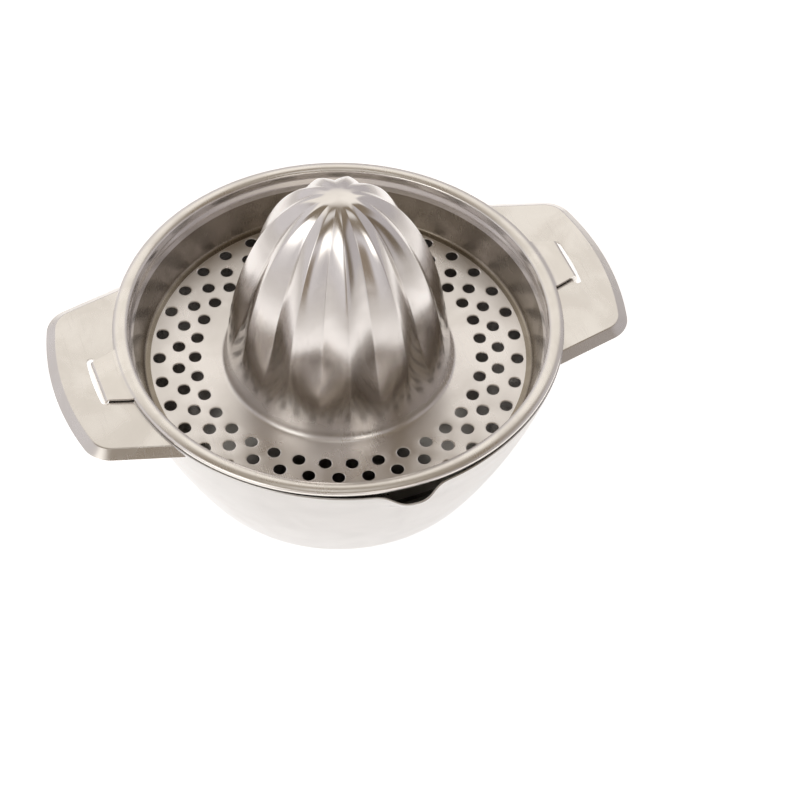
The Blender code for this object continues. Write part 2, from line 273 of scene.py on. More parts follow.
def finished(mesh: bpy.types.Mesh, name: str, materials: list[bpy.types.Material],
             thickness: float = 0.0, flat: bool = False) -> bpy.types.Object:
    """Make an object of a mesh, give an open skin its thickness, and shade it.

    Args:
        mesh: The closed mesh, or the outer skin of a sheet.
        name: Name of the object.
        materials: Its materials, in the order of the faces' numbers; a sheet's back gets the last.
        thickness: Thickness of the sheet, laid on behind the skin; 0 for a closed mesh.
        flat: Whether large flats keep their own normals right up to their rounded edges.

    Returns:
        The finished object, at the origin.
    """
    piece = bpy.data.objects.new(name, mesh)
    bpy.context.scene.collection.objects.link(piece)
    for material in materials:
        mesh.materials.append(material)
    if thickness:
        shell = piece.modifiers.new("thickness", "SOLIDIFY")
        shell.thickness = thickness
        shell.offset = -1.0
        shell.use_even_offset = True
        shell.material_offset = len(materials) - 1
        apply_modifiers(piece)
    piece.data.shade_smooth()
    piece.data.set_sharp_from_angle(angle=SHARP_ANGLE)
    if flat:
        weighted = piece.modifiers.new("flats", "WEIGHTED_NORMAL")
        weighted.keep_sharp = True
        apply_modifiers(piece)
    return piece


# ---------------------------------------------------------------- shared sizes


@dataclass(frozen=True)
class Seat:
    """Sizes where the bowl and the strainer meet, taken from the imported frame."""

    rim_radius: float
    rim_z: float
    crest_z: float
    crown_z: float
    sheet: float = 0.8 * MM
    tilt: float = math.radians(14.0)
    gap: float = 0.3 * MM

    @classmethod
    def from_frame(cls) -> "Seat":
        """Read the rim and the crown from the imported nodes' boxes."""
        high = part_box("juice_bowl")[1]
        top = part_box("reamer_strainer")[1]
        crest = high.z
        return cls(rim_radius=high.y, rim_z=crest - cls.sheet * math.sin(cls.tilt),
                   crest_z=crest, crown_z=top.z)


# ---------------------------------------------------------------- the bowl


@dataclass
class Bowl:
    """The drawn bowl: flat foot, curved wall and a pouring lip pressed into the rim."""

    seat: Seat
    wall_tilt_bottom: float = math.radians(26.5)
    corner_radius: float = 18.0 * MM
    lip_reach: float = 3.2 * MM
    lip_drop: float = 1.8 * MM
    lip_spread: float = math.radians(5.5)
    lip_squareness: float = 3.0
    lip_fade: float = 11.0 * MM
    shoulder_reach: float = 0.7 * MM
    shoulder_drop: float = 0.6 * MM
    shoulder_spread: float = math.radians(22.0)
    columns: int = 300
    wall_steps: int = 48
    corner_steps: int = 16
    foot_rings: int = 9
    edge_points: int = 7
    edge_roundness: float = 0.8
    lip_crowding: float = 3.0
    crowding_width: float = 2.4
    angle_samples: int = 4001

    def outside(self) -> np.ndarray:
        """Profile (r, z) from the foot's centre out and up to the rim.

        One long arc makes the wall between its two tilts, and a short arc turns it into the foot.
        """
        seat, bottom = self.seat, self.wall_tilt_bottom
        bend_height = self.corner_radius * (1.0 - math.sin(bottom))
        wall_radius = (seat.rim_z - bend_height) / (math.sin(bottom) - math.sin(seat.tilt))
        centre = (seat.rim_radius - wall_radius * math.cos(seat.tilt),
                  seat.rim_z + wall_radius * math.sin(seat.tilt))
        wall = arc(centre, wall_radius, -bottom, -seat.tilt, self.wall_steps)
        foot_radius = wall[0][0] - self.corner_radius * math.cos(bottom)
        bend = arc((foot_radius, self.corner_radius), self.corner_radius, -math.pi / 2.0, -bottom,
                   self.corner_steps)
        foot = np.stack([np.linspace(0.0, foot_radius, self.foot_rings), np.zeros(self.foot_rings)], -1)
        return np.concatenate([foot, bend[1:], wall[1:]])

    def press(self, radius: np.ndarray, height: np.ndarray, angle: np.ndarray) -> np.ndarray:
        """Press the lip: r + f (reach_n n + reach_b b), z - f (drop_n n + drop_b b).

        n and b are the narrow bump and the broad shoulder, exp(-|offset / spread|^p), and f fades
        down the wall.

        Args:
            radius: Radii of the plain bowl.
            height: Heights of the plain bowl.
            angle: Angles round Z.

        Returns:
            The pressed points, (..., 3).
        """
        offset = np.arctan2(np.cos(angle), -np.sin(angle))
        fade = smooth(self.seat.rim_z - self.lip_fade, self.seat.rim_z, height)
        narrow = np.exp(-np.abs(offset / self.lip_spread) ** self.lip_squareness)
        broad = np.exp(-(offset / self.shoulder_spread) ** 2.0)
        reach = fade * (self.lip_reach * narrow + self.shoulder_reach * broad)
        drop = fade * (self.lip_drop * narrow + self.shoulder_drop * broad)
        return spun(radius + reach, height - drop, angle)

    def angles(self) -> np.ndarray:
        """Angles of the columns, closer by 1 + crowding * exp(-(offset / spread)^2) at the lip."""
        even = np.linspace(-math.pi / 2.0, 1.5 * math.pi, self.angle_samples)
        offset = np.minimum(even + math.pi / 2.0, 1.5 * math.pi - even)
        density = 1.0 + self.lip_crowding * np.exp(-(offset / (self.crowding_width * self.lip_spread)) ** 2)
        total = np.concatenate([[0.0], np.cumsum((density[1:] + density[:-1]) / 2.0)])
        return np.interp(np.linspace(0.0, total[-1], self.columns, endpoint=False), total, even)

    def build(self, materials: list[bpy.types.Material]) -> bpy.types.Object:
        """Build the closed wall: outside, rounded rim edge and inside, carried round Z."""
        outer = self.outside()
        inner = offset_profile(outer, -self.seat.sheet)
        inner[0, 0] = 0.0
        middle = (outer[-1] + inner[-1]) / 2.0
        across = outer[-1] - middle
        up = np.array([-across[1], across[0]]) * self.edge_roundness
        turn = np.linspace(0.0, math.pi, self.edge_points)[1:-1, None]
        edge = middle + across * np.cos(turn) + up * np.sin(turn) - up
        outer[-1] -= up
        inner[-1] -= up
        profile = np.concatenate([inner, edge[::-1], outer[::-1]])
        grid = self.press(profile[:, None, 0], profile[:, None, 1], self.angles()[None, :])
        sheet = Sheet()
        sheet.add_grid(grid, closed=True)
        return finished(sheet.mesh("bowl_wall"), "bowl_wall", materials)


@dataclass
class Handle:
    """One wing handle: flat, its edges turned down, with one punched slot."""

    seat: Seat
    side: Side
    fold_radius: float = 87.9 * MM
    half_width: float = 28.9 * MM
    taper: float = 0.254
    corner: float = 7.0 * MM
    skirt_out: float = 3.0 * MM
    skirt_down: float = 2.0 * MM
    fold: float = 0.9 * MM
    root: float = 0.4 * MM
    skirt_root: float = 0.9 * MM
    slot_inner: float = 76.7 * MM
    slot_outer: float = 79.14 * MM
    slot_half: float = math.radians(7.1)
    slot_turn: float = math.radians(1.3)
    edge: float = 0.12 * MM
    edge_soft: float = 0.3
    corner_steps: int = 18
    side_points: int = 9
    arc_steps: int = 14
    slot_end_steps: int = 10
    fold_steps: int = 5
    under_steps: int = 3
    root_points: int = 31

    def half_at(self, x: np.ndarray | float) -> np.ndarray | float:
        """Half the width at a distance along X: h - taper * (x - mid)."""
        return self.half_width - self.taper * (x - (self.seat.rim_radius + self.fold_radius) / 2.0)

    def meets(self, inset: float, radius: float) -> tuple[float, float]:
        """Point where the side, moved in by an inset, meets a circle round Z."""
        level = self.half_at(0.0) - inset * math.hypot(1.0, self.taper)
        scale = 1.0 + self.taper ** 2
        half_b = self.taper * level
        x = (half_b + math.sqrt(half_b ** 2 - scale * (level ** 2 - radius ** 2))) / scale
        return x, level - self.taper * x

    def outline(self) -> np.ndarray:
        """Fold line (n, 2) from the root at +Y, round the outer arc, to the root at -Y."""
        centre = self.meets(self.corner, self.fold_radius - self.corner)
        side_angle = math.atan2(1.0, self.taper)
        arc_angle = math.atan2(centre[1], centre[0])
        start = np.array([self.meets(0.0, self.seat.rim_radius - self.root)])
        corner = arc(centre, self.corner, side_angle, arc_angle, self.corner_steps)
        straight = resample(np.concatenate([start, corner[:1]]), self.side_points)
        outer = arc((0.0, 0.0), self.fold_radius, arc_angle, 0.0, self.arc_steps)
        half = np.concatenate([straight[:-1], corner, outer[1:]])
        return np.concatenate([half, half[-2::-1] * [1.0, -1.0]])

    def slot_outline(self) -> np.ndarray:
        """Closed outline of the slot: two arcs round Z joined by round ends."""
        middle = (self.slot_inner + self.slot_outer) / 2.0
        half = (self.slot_outer - self.slot_inner) / 2.0
        reach = self.slot_half - half / middle
        low, high = self.slot_turn - reach, self.slot_turn + reach
        far = arc((0.0, 0.0), self.slot_outer, low, high, self.arc_steps)
        near = arc((0.0, 0.0), self.slot_inner, high, low, self.arc_steps)
        ends = [arc((middle * math.cos(place), middle * math.sin(place)), half, place + start,
                    place + start + math.pi, self.slot_end_steps)[1:-1]
                for place, start in ((high, 0.0), (low, math.pi))]
        return np.concatenate([far, ends[0], near, ends[1]])

    def carried(self, line: np.ndarray, section: np.ndarray, closed: bool) -> np.ndarray:
        """Carry a section (out, z) along a flat line: p + out * n, with n to the left of its way.

        Args:
            line: The line, (n, 2).
            section: Distances out of the line and heights, (m, 2).
            closed: Whether the line is a loop.

        Returns:
            The grid, (m, n, 3).
        """
        if closed:
            along = np.roll(line, -1, axis=0) - np.roll(line, 1, axis=0)
        else:
            along = np.gradient(line, axis=0)
        along /= np.linalg.norm(along, axis=1, keepdims=True)
        normal = np.stack([-along[:, 1], along[:, 0]], -1)
        flat = line[None] + section[:, 0, None, None] * normal[None]
        height = np.broadcast_to(section[:, 1, None, None], flat.shape[:2] + (1,))
        return np.concatenate([flat, height], -1)

    def rooted(self, skirt: np.ndarray, line: np.ndarray) -> np.ndarray:
        """Run the skirt's two ends on along the sides until they are inside the bowl's wall.

        A point p goes on by t along the side's way d, where |p + t d| is the wall's radius:
        t = -p.d - sqrt((p.d)^2 - |p|^2 + radius^2).

        Args:
            skirt: The carried skirt, (m, n, 3).
            line: The line that it was carried along, (n, 2).

        Returns:
            The skirt with its ends in the wall, (m, n, 3).
        """
        radius = self.seat.rim_radius - self.skirt_root
        grid = skirt.copy()
        for end, before in ((0, 1), (-1, -2)):
            way = (line[end] - line[before]) / np.linalg.norm(line[end] - line[before])
            point = grid[:, end, :2]
            ahead = point @ way
            under = ahead ** 2 - (point ** 2).sum(1) + radius ** 2
            run = np.clip(-ahead - np.sqrt(np.clip(under, 0.0, None)), 0.0, None)
            grid[:, end, :2] = point + run[:, None] * way
        return grid

    def skirt_section(self) -> np.ndarray:
        """Section through fold and skirt: from the flat top, round the cut edge, to the underside."""
        sheet, rim = self.seat.sheet, self.seat.rim_z
        slope = math.atan2(self.skirt_down, self.skirt_out)
        back = self.fold * math.tan(slope / 2.0)
        bend = arc((-back, -self.fold), self.fold, math.pi / 2.0, math.pi / 2.0 - slope,
                   self.fold_steps)
        run = np.array([math.cos(slope), -math.sin(slope)])
        tip = run * math.hypot(self.skirt_out, self.skirt_down)
        top = np.concatenate([bend, tip[None]])
        normal = np.array([math.sin(slope), math.cos(slope)])
        edge, soft = self.edge, self.edge_soft * self.edge
        nose = np.array([tip - run * edge, tip - run * soft - normal * soft, tip - normal * edge,
                         tip - normal * (sheet - edge), tip - run * soft - normal * (sheet - soft),
                         tip - run * edge - normal * sheet])
        inner = self.fold - sheet
        under = arc((-back, -self.fold), inner, math.pi / 2.0 - slope, math.pi / 2.0, self.under_steps)
        return np.concatenate([top[:-1], nose, under]) + [0.0, rim]

    def level(self, sheet: Sheet, outer: np.ndarray, hole: np.ndarray, height: float, up: bool) -> None:
        """Fill the flat between an outline and the slot with triangles at one height.

        A triangle is in the slot, and is left out, where its middle lies within half the slot's
        width of the slot's middle line.

        Args:
            sheet: Where the faces go.
            outer: The outline, (n, 2).
            hole: The slot, (m, 2).
            height: The level's height.
            up: Whether the faces look up.
        """
        n, m = len(outer), len(hole)
        points = np.concatenate([outer, hole])
        edges = [(i, (i + 1) % n) for i in range(n)] + [(n + i, n + (i + 1) % m) for i in range(m)]
        found, _, faces, *_ = delaunay_2d_cdt(points.tolist(), edges, [], INSIDE_ONLY, FLAT_TOLERANCE)
        flat = np.array([tuple(p) for p in found])
        faces = np.array(faces)
        middle = flat[faces].mean(axis=1)
        half = (self.slot_outer - self.slot_inner) / 2.0
        track = self.slot_inner + half
        swing = np.abs(np.arctan2(middle[:, 1], middle[:, 0]) - self.slot_turn)
        past = track * np.maximum(swing - self.slot_half + half / track, 0.0)
        faces = faces[np.hypot(np.hypot(middle[:, 0], middle[:, 1]) - track, past) > half]
        a, b, c = flat[faces[:, 0]], flat[faces[:, 1]], flat[faces[:, 2]]
        area = (b - a)[:, 0] * (c - a)[:, 1] - (b - a)[:, 1] * (c - a)[:, 0]
        faces = np.where(((area > 0.0) == up)[:, None], faces, faces[:, ::-1])
        sheet.add(np.column_stack([flat, np.full(len(flat), height)]), faces)

    def build(self, materials: list[bpy.types.Material]) -> bpy.types.Object:
        """Build the wing as one closed mesh, its root sunk into the bowl's wall."""
        rim, thick, edge = self.seat.rim_z, self.seat.sheet, self.edge
        soft = self.edge_soft * edge
        line, hole = self.outline(), self.slot_outline()
        sheet = Sheet()
        skirt = self.rooted(self.carried(line, self.skirt_section(), closed=False), line)
        sheet.add_grid(skirt[::-1])
        wall = np.array([[-edge, 0.0], [-soft, -soft], [0.0, -edge], [0.0, edge - thick],
                         [-soft, soft - thick], [-edge, -thick]]) + [0.0, rim]
        well = self.carried(hole, wall, closed=True)
        sheet.add_grid(well[::-1], closed=True)
        start, end = line[0], line[-1]
        turn = np.linspace(math.atan2(end[1], end[0]), math.atan2(start[1], start[0]),
                           self.root_points)[1:-1]
        root = np.stack([np.cos(turn), np.sin(turn)], -1) * (self.seat.rim_radius - self.root)
        top = np.concatenate([skirt[0, :, :2], root])
        under = np.concatenate([skirt[-1, :, :2], root])
        self.level(sheet, top, well[0, :, :2], rim, True)
        self.level(sheet, under, well[-1, :, :2], rim - thick, False)
        for end_column, flip in ((0, False), (-1, True)):
            ring = skirt[:, end_column]
            fan = np.stack([np.arange(1, len(ring) - 1), np.arange(2, len(ring)),
                            np.zeros(len(ring) - 2, int)], -1)
            sheet.add(ring, fan[:, ::-1] if flip else fan)
        backs = np.concatenate([skirt[0, -1:, :2], root, skirt[0, :1, :2]])
        lower = np.concatenate([skirt[-1, -1:, :2], root, skirt[-1, :1, :2]])
        strip = np.stack([np.column_stack([lower, np.full(len(lower), rim - thick)]),
                          np.column_stack([backs, np.full(len(backs), rim)])])
        sheet.add_grid(strip)
        mesh = sheet.mesh(f"handle_{self.side.name.lower()}")
        mesh.transform(Matrix.Rotation(self.side.value, 4, "Z"))
        return finished(mesh, mesh.name, materials, flat=True)


# ---------------------------------------------------------------- the strainer


def rounded(points: np.ndarray, radius: float, steps: int = 4) -> np.ndarray:
    """Round the corners of a polyline: each corner c becomes the curve (1-t)^2 a + 2t(1-t) c + t^2 b.

    Args:
        points: The polyline, (n, 2).
        radius: How far from the corner the curve starts, held to a share of the shorter side.
        steps: Steps round each corner.

    Returns:
        The rounded polyline.
    """
    before, corner, after = points[:-2], points[1:-1], points[2:]
    left, right = before - corner, after - corner
    left_size = np.linalg.norm(left, axis=1, keepdims=True)
    right_size = np.linalg.norm(right, axis=1, keepdims=True)
    reach = np.minimum(radius, CORNER_SHARE * np.minimum(left_size, right_size))
    a, b = corner + left / left_size * reach, corner + right / right_size * reach
    t = np.linspace(0.0, 1.0, steps + 1)[None, :, None]
    curve = (1 - t) ** 2 * a[:, None] + 2 * t * (1 - t) * corner[:, None] + t ** 2 * b[:, None]
    return np.concatenate([points[:1], curve.reshape(-1, 2), points[-1:]])


@dataclass
class Strainer:
    """The lift-off strainer: rim bead, wall, perforated floor, ribbed reamer and two tabs."""

    seat: Seat
    thickness: float = 0.7 * MM
    depth: float = 15.0 * MM
    bead_width: float = 4.6 * MM
    bead_hem: float = 0.5 * MM
    bead_rise: float = 1.0 * MM
    bead_inset: float = 0.4 * MM
    neck_height: float = 1.5 * MM
    ledge_width: float = 0.9 * MM
    ledge_height: float = 1.5 * MM
    wall_slope: float = 0.26
    satin_rows: int = 16
    neck_rows: int = 29
    hole_radius: float = 2.0 * MM
    ring_radii: tuple[float, ...] = (45.5 * MM, 50.81 * MM, 56.75 * MM)
    ring_edges: tuple[float, ...] = (42.7 * MM, 48.08 * MM, 53.70 * MM, 59.5 * MM)
    holes: int = 35
    hole_phase: float = math.radians(0.16)
    side_steps: int = 6
    reamer_radius: float = 35.2 * MM
    foot_flare: float = 2.3 * MM
    foot_height: float = 3.6 * MM
    ribs: int = 11
    rib_phase: float = math.radians(-3.6)
    flute_depth: float = 3.2 * MM
    crown_radius: float = 4.5 * MM
    run_in: float = 20.0 * MM
    flute_end: float = 6.0 * MM
    run_out: float = 22.0 * MM
    shoulder_power: float = 2.32
    crown_power: float = 1.62
    rib_steps: int = 10
    rib_soft: float = 0.26
    valley_soft: float = 0.08
    reamer_rows: int = 92
    apron: float = 41.6 * MM
    tab_reach: float = 7.5 * MM
    tab_root_half: float = 10.6 * MM
    tab_tip_half: float = 8.25 * MM
    tab_drop: float = 4.3 * MM
    tab_turn: float = math.radians(2.0)
    tab_bend: float = 1.3 * MM
    branch: float = math.radians(35.0)
    crown_steps: int = 18
    hem_steps: int = 6
    ledge_round: float = 0.5 * MM
    floor_round: float = 1.7 * MM
    floor_round_steps: int = 8
    wall_points: int = 9
    lean_lead: float = -0.5
    tab_points: int = 8
    tab_fillet: float = 2.6
    punch_edge: tuple[tuple[float, float], ...] = ((0.42, 0.0), (0.24, -0.012), (0.1, -0.05), (0.0, -0.12))
    flute_start_power: float = 0.75
    flare_points: int = 13
    body_samples: int = 800
    apron_edge: float = 1.0 * MM
    crown_crowding: float = 1.2
    crowding_from: float = 20.0 * MM
    crowding_full: float = 4.0 * MM

    @property
    def floor_z(self) -> float:
        """Height of the floor's top."""
        return self.seat.rim_z - self.depth

    @property
    def edge_z(self) -> float:
        """Height of the bead's cut edge."""
        return self.seat.crest_z + self.seat.gap

    @property
    def bead_outer(self) -> float:
        """Radius of the bead's outer edge."""
        return self.seat.rim_radius - self.bead_inset

    def bead(self, start: float, end: float, steps: int) -> np.ndarray:
        """Part of the bead's crown: (middle + half cos a, hem + rise sin a), (n, 2)."""
        half = self.bead_width / 2.0
        a = np.linspace(start, end, steps + 1)
        return np.stack([self.bead_outer - half + half * np.cos(a),
                         self.edge_z + self.bead_hem + self.bead_rise * np.sin(a)], -1)

    def wall_profile(self) -> np.ndarray:
        """Profile (r, z) from the bead's branch line, over the crown, down the wall, to the floor."""
        inner = self.bead_outer - self.bead_width
        neck_z = self.edge_z - self.neck_height
        ledge_z = neck_z - self.ledge_height
        wall_top = inner - self.ledge_width
        wall_foot = wall_top - self.wall_slope * (ledge_z - self.floor_z)
        corners = np.array([[inner, self.edge_z + self.bead_hem], [inner, neck_z], [wall_top, ledge_z],
                            [wall_foot, self.floor_z], [self.ring_edges[-1], self.floor_z]])
        upper = rounded(corners[:4], self.ledge_round)
        lower = rounded(corners[2:], self.floor_round, self.floor_round_steps)
        wall = resample(np.stack([upper[-2], lower[1]]), self.wall_points)
        crown = self.bead(self.branch, math.pi, self.crown_steps)
        return np.concatenate([crown[:-1], upper[:-1], wall[1:-1], lower[1:]])

    def column_angles(self) -> np.ndarray:
        """Angles of the wall's columns, which meet those of the perforated cells."""
        step = 2.0 * math.pi / (self.holes * self.side_steps)
        start = self.hole_phase - step * self.side_steps / 2.0
        return start + step * np.arange(self.holes * self.side_steps)

    def tab_columns(self) -> tuple[np.ndarray, np.ndarray]:
        """Columns nearest the four tab sides, and the angles of those sides at the branch line."""
        radius = self.bead(self.branch, self.branch, 0)[0, 0]
        half = math.asin(self.tab_root_half / radius)
        sides = self.tab_turn + np.array([-half, half, math.pi - half, math.pi + half])
        angles = self.column_angles()
        columns = np.rint((sides - angles[0]) / (angles[1] - angles[0])).astype(int)
        return columns, sides

    def add_wall(self, sheet: Sheet) -> np.ndarray:
        """Add the bead and wall; the columns lean so that four of them meet the tabs' sides.

        The lean is greatest at the branch line and fades to none at the floor.

        Args:
            sheet: Where the faces go.

        Returns:
            The angles of the columns at the branch line.
        """
        profile = self.wall_profile()
        angles = self.column_angles()
        columns, sides = self.tab_columns()
        anchors = np.concatenate([columns, [columns[0] + len(angles)]])
        held = np.concatenate([sides, [sides[0] + 2.0 * math.pi]])
        index = np.arange(len(angles))
        index = np.where(index < anchors[0], index + len(angles), index)
        index = np.where(index > anchors[-1], index - len(angles), index)
        leaning = np.interp(index, anchors, held)
        lean = np.arctan2(np.sin(leaning - angles), np.cos(leaning - angles))
        share = 1.0 - smooth(0.0, 1.0, np.linspace(self.lean_lead, 1.0, len(profile)))
        angle = angles[None, :] + share[:, None] * lean[None, :]
        grid = spun(profile[:, None, 0], profile[:, None, 1], angle)
        edges = (0, self.satin_rows, self.neck_rows, len(profile) - 1)
        for first, last, finish in zip(edges[:-1], edges[1:], (Skin.BEAD, Skin.BRIGHT, Skin.WALL)):
            sheet.add_grid(grid[first:last + 1][::-1], closed=True, finish=finish)
        return angle[0]

    def add_hem(self, sheet: Sheet, angle: np.ndarray, first: int, last: int) -> None:
        """Add the bead's outer slope and turned-down hem between two tabs.

        Args:
            sheet: Where the faces go.
            angle: Angles of the columns at the branch line.
            first: Column at one tab's side.
            last: Column at the next tab's side.
        """
        index = np.arange(first, last + 1)
        slope = self.bead(0.0, self.branch, self.hem_steps)
        profile = np.concatenate([[[self.bead_outer, self.edge_z]], slope])
        around = np.take(angle, index, mode="wrap")
        sheet.add_grid(spun(profile[:, None, 0], profile[:, None, 1], around[None, :])[::-1],
                       finish=Skin.BEAD)

    def add_tab(self, sheet: Sheet, angle: np.ndarray, first: int, last: int, turn: float) -> None:
        """Add a tab: it leaves the bead's slope, runs flat, and its end is bent down.

        The section is carried out along X in the tab's own frame, its width tapering, and the
        columns straighten from the bead's circle to the bend.

        Args:
            sheet: Where the faces go.
            angle: Angles of the columns at the branch line.
            first: Column at the tab's one side.
            last: Column at the tab's other side.
            turn: The tab's own turn round Z.
        """
        around = np.take(angle, np.arange(first, last + 1), mode="wrap") - turn
        around = np.arctan2(np.sin(around), np.cos(around))
        radius, height = self.bead(self.branch, self.branch, 0)[0]
        top = self.edge_z + self.thickness
        face = self.bead_outer + self.tab_reach
        half = self.bead_width / 2.0
        fall = self.bead_rise * math.cos(self.branch) / (half * math.sin(self.branch))
        run = (height - top) / fall
        t = np.linspace(0.0, 1.0, self.tab_points)
        fillet_x = 2.0 * t * (1.0 - t) * run + t ** 2 * self.tab_fillet * run
        fillet_z = (1.0 - t) ** 2 * height + (2.0 * t * (1.0 - t) + t ** 2) * top
        reach = face - self.tab_bend - radius
        flat_x = np.linspace(fillet_x[-1], reach, self.tab_points + 1)[1:]
        bend = arc((reach, top - self.tab_bend), self.tab_bend, math.pi / 2.0, 0.0, self.tab_points)[1:]
        tip = np.array([[reach + self.tab_bend, top - self.tab_drop]])
        section = np.concatenate([np.stack([fillet_x, fillet_z], -1),
                                  np.stack([flat_x, np.full(len(flat_x), top)], -1), bend, tip])
        share = np.clip(section[:, 0] / reach, 0.0, 1.0)[:, None]
        start_x, start_y = radius * np.cos(around), radius * np.sin(around)
        x = (1.0 - share) * start_x + share * radius + section[:, :1]
        spread = start_y / np.abs(start_y).max()
        y = (1.0 - share) * start_y + share * spread * self.tab_tip_half
        z = np.broadcast_to(section[:, 1:], x.shape)
        sheet.add_grid(turned(np.stack([x, y, z], -1).reshape(-1, 3), turn).reshape(x.shape + (3,)),
                       finish=Skin.BEAD)

    def add_cells(self, sheet: Sheet) -> None:
        """Add the three rings of perforated cells, each a patch from its four sides to its hole.

        A cell's points are its side points b and, inwards, c + rho (b - c) / |b - c|, where c is
        the hole's centre; the punched edge rolls down over the last steps of rho.

        Args:
            sheet: Where the faces go.
        """
        pitch = 2.0 * math.pi / self.holes
        n = self.side_steps
        u = np.linspace(-0.5, 0.5, n + 1)[:-1]
        swing = np.concatenate([u, np.full(n, 0.5), -u, np.full(n, -0.5)]) * pitch
        span = np.concatenate([np.zeros(n), u + 0.5, np.ones(n), 0.5 - u])
        roll = np.array(self.punch_edge) * MM
        for ring, centre_radius in enumerate(self.ring_radii):
            centre_angle = self.hole_phase + pitch * (np.arange(self.holes) + 0.5 * (ring % 2))
            low, high = self.ring_edges[ring], self.ring_edges[ring + 1]
            side = spun(low + (high - low) * span[None, :], self.floor_z,
                        centre_angle[:, None] + swing[None, :])
            centre = spun(centre_radius, self.floor_z, centre_angle)[:, None]
            away = side - centre
            away /= np.linalg.norm(away, axis=2, keepdims=True)
            rows = [side]
            for out, down in roll:
                rows.append(centre + away * (self.hole_radius + out) + [0.0, 0.0, down])
            cells = np.stack(rows, 1)
            count, depth, width = cells.shape[:3]
            index = np.arange(depth * width).reshape(depth, width)
            after = np.roll(index, -1, axis=1)
            patch = np.stack([index[:-1], index[1:], after[1:], after[:-1]], -1).reshape(-1, 4)
            faces = (patch[None] + (np.arange(count) * depth * width)[:, None, None]).reshape(-1, 4)
            sheet.add(cells, faces)

    def rib_angles(self) -> np.ndarray:
        """Angles of the reamer's columns: f = (1 - cos(pi u)) / 4 from rib to valley, mirrored."""
        u = np.linspace(0.0, 1.0, self.rib_steps + 1)
        half = 0.25 * (1.0 - np.cos(math.pi * u))
        one = np.concatenate([half, 1.0 - half[-2:0:-1]])
        pitch = 2.0 * math.pi / self.ribs
        return self.rib_phase + pitch * (np.arange(self.ribs)[:, None] + one[None, :]).reshape(-1)

    def reamer_profile(self) -> np.ndarray:
        """Rib line (r, z over the floor) from the apron to the crown.

        A quarter ellipse makes the flared foot; above it r = R sin(a)^(2/p), z = h + H cos(a)^(2/q).
        """
        foot = self.reamer_radius + self.foot_flare
        a = np.linspace(0.0, math.pi / 2.0, self.flare_points)
        flare = np.stack([self.reamer_radius + self.foot_flare * (1.0 - np.sin(a)),
                          self.foot_height * (1.0 - np.cos(a))], -1)
        a = np.linspace(math.pi / 2.0, 0.0, self.body_samples)
        rise = self.seat.crown_z - self.floor_z - self.foot_height
        up = np.clip(np.cos(a), 0.0, 1.0) ** (2.0 / self.crown_power)
        body = np.stack([self.reamer_radius * np.sin(a) ** (2.0 / self.shoulder_power),
                         self.foot_height + rise * up], -1)
        near_top = 1.0 + self.crown_crowding * smooth(self.crowding_from, self.crowding_full, body[1:, 0])
        body = resample(body, self.reamer_rows, near_top)
        return np.concatenate([[[self.apron, 0.0], [foot + self.apron_edge, 0.0]], flare, body[1:]])

    def flute(self, radius: np.ndarray, height: np.ndarray, angle: np.ndarray) -> np.ndarray:
        """Depth of the flutes: D * start(r) * finish(z) * flank(f), f being 0 at a rib, 1 in a valley.

        start(r) = ((r - crown) / run_in)^power, held to 0..1, opens the flutes below the crown.
        finish(z) is a smooth step over run_out above flute_end, which closes them at the foot.
        The flank is straight, with a rounded rib and a tightly rounded valley: with
        round(f, c) = (sqrt(f^2 + c^2) - c) / (sqrt(1 + c^2) - c), it is the mean of
        round(f, rib) and 1 - round(1 - f, valley).

        Args:
            radius: Radii of the rib line.
            height: Heights over the floor.
            angle: Angles of the columns.

        Returns:
            How far each point moves towards the axis.
        """
        turns = (angle - self.rib_phase) * self.ribs / (2.0 * math.pi)
        from_rib = 2.0 * np.abs(turns - np.rint(turns))
        rib, valley = (
            (np.sqrt(away ** 2 + soft ** 2) - soft) / (math.sqrt(1.0 + soft ** 2) - soft)
            for away, soft in ((from_rib, self.rib_soft), (1.0 - from_rib, self.valley_soft)))
        start = np.clip((radius - self.crown_radius) / self.run_in, 0.0, 1.0) ** self.flute_start_power
        finish = smooth(0.0, 1.0, (height - self.flute_end) / self.run_out)
        return self.flute_depth * start * finish * 0.5 * (rib + 1.0 - valley)

    def add_reamer(self, sheet: Sheet) -> None:
        """Add the apron, the flared foot and the fluted body up to the crown."""
        profile, angle = self.reamer_profile(), self.rib_angles()
        radius, height = profile[:, None, 0], profile[:, None, 1]
        depth = self.flute(radius, height, angle[None, :])
        grid = spun(radius - depth, height + self.floor_z, angle[None, :])
        sheet.add_grid(grid[::-1], closed=True)
        columns = self.column_angles()
        outer = spun(self.ring_edges[0], self.floor_z, columns)
        first = int(np.searchsorted(angle, columns[0]))
        around = np.concatenate([angle[first:], angle[:first] + 2.0 * math.pi])
        inner = spun(self.apron, self.floor_z, around)
        sheet.add_zip(outer, inner, columns, around)

    def build(self, materials: list[bpy.types.Material]) -> bpy.types.Object:
        """Build the upper skin piece by piece, weld it and give it its thickness."""
        sheet = Sheet()
        angle = self.add_wall(sheet)
        columns, _ = self.tab_columns()
        total = len(angle)
        self.add_hem(sheet, angle, columns[1], columns[2])
        self.add_hem(sheet, angle, columns[3], columns[0] + total)
        self.add_tab(sheet, angle, columns[0], columns[1], self.tab_turn)
        self.add_tab(sheet, angle, columns[2], columns[3], self.tab_turn + math.pi)
        self.add_cells(sheet)
        self.add_reamer(sheet)
        return finished(sheet.mesh("strainer"), "strainer", materials, self.thickness)


# ---------------------------------------------------------------- finishes


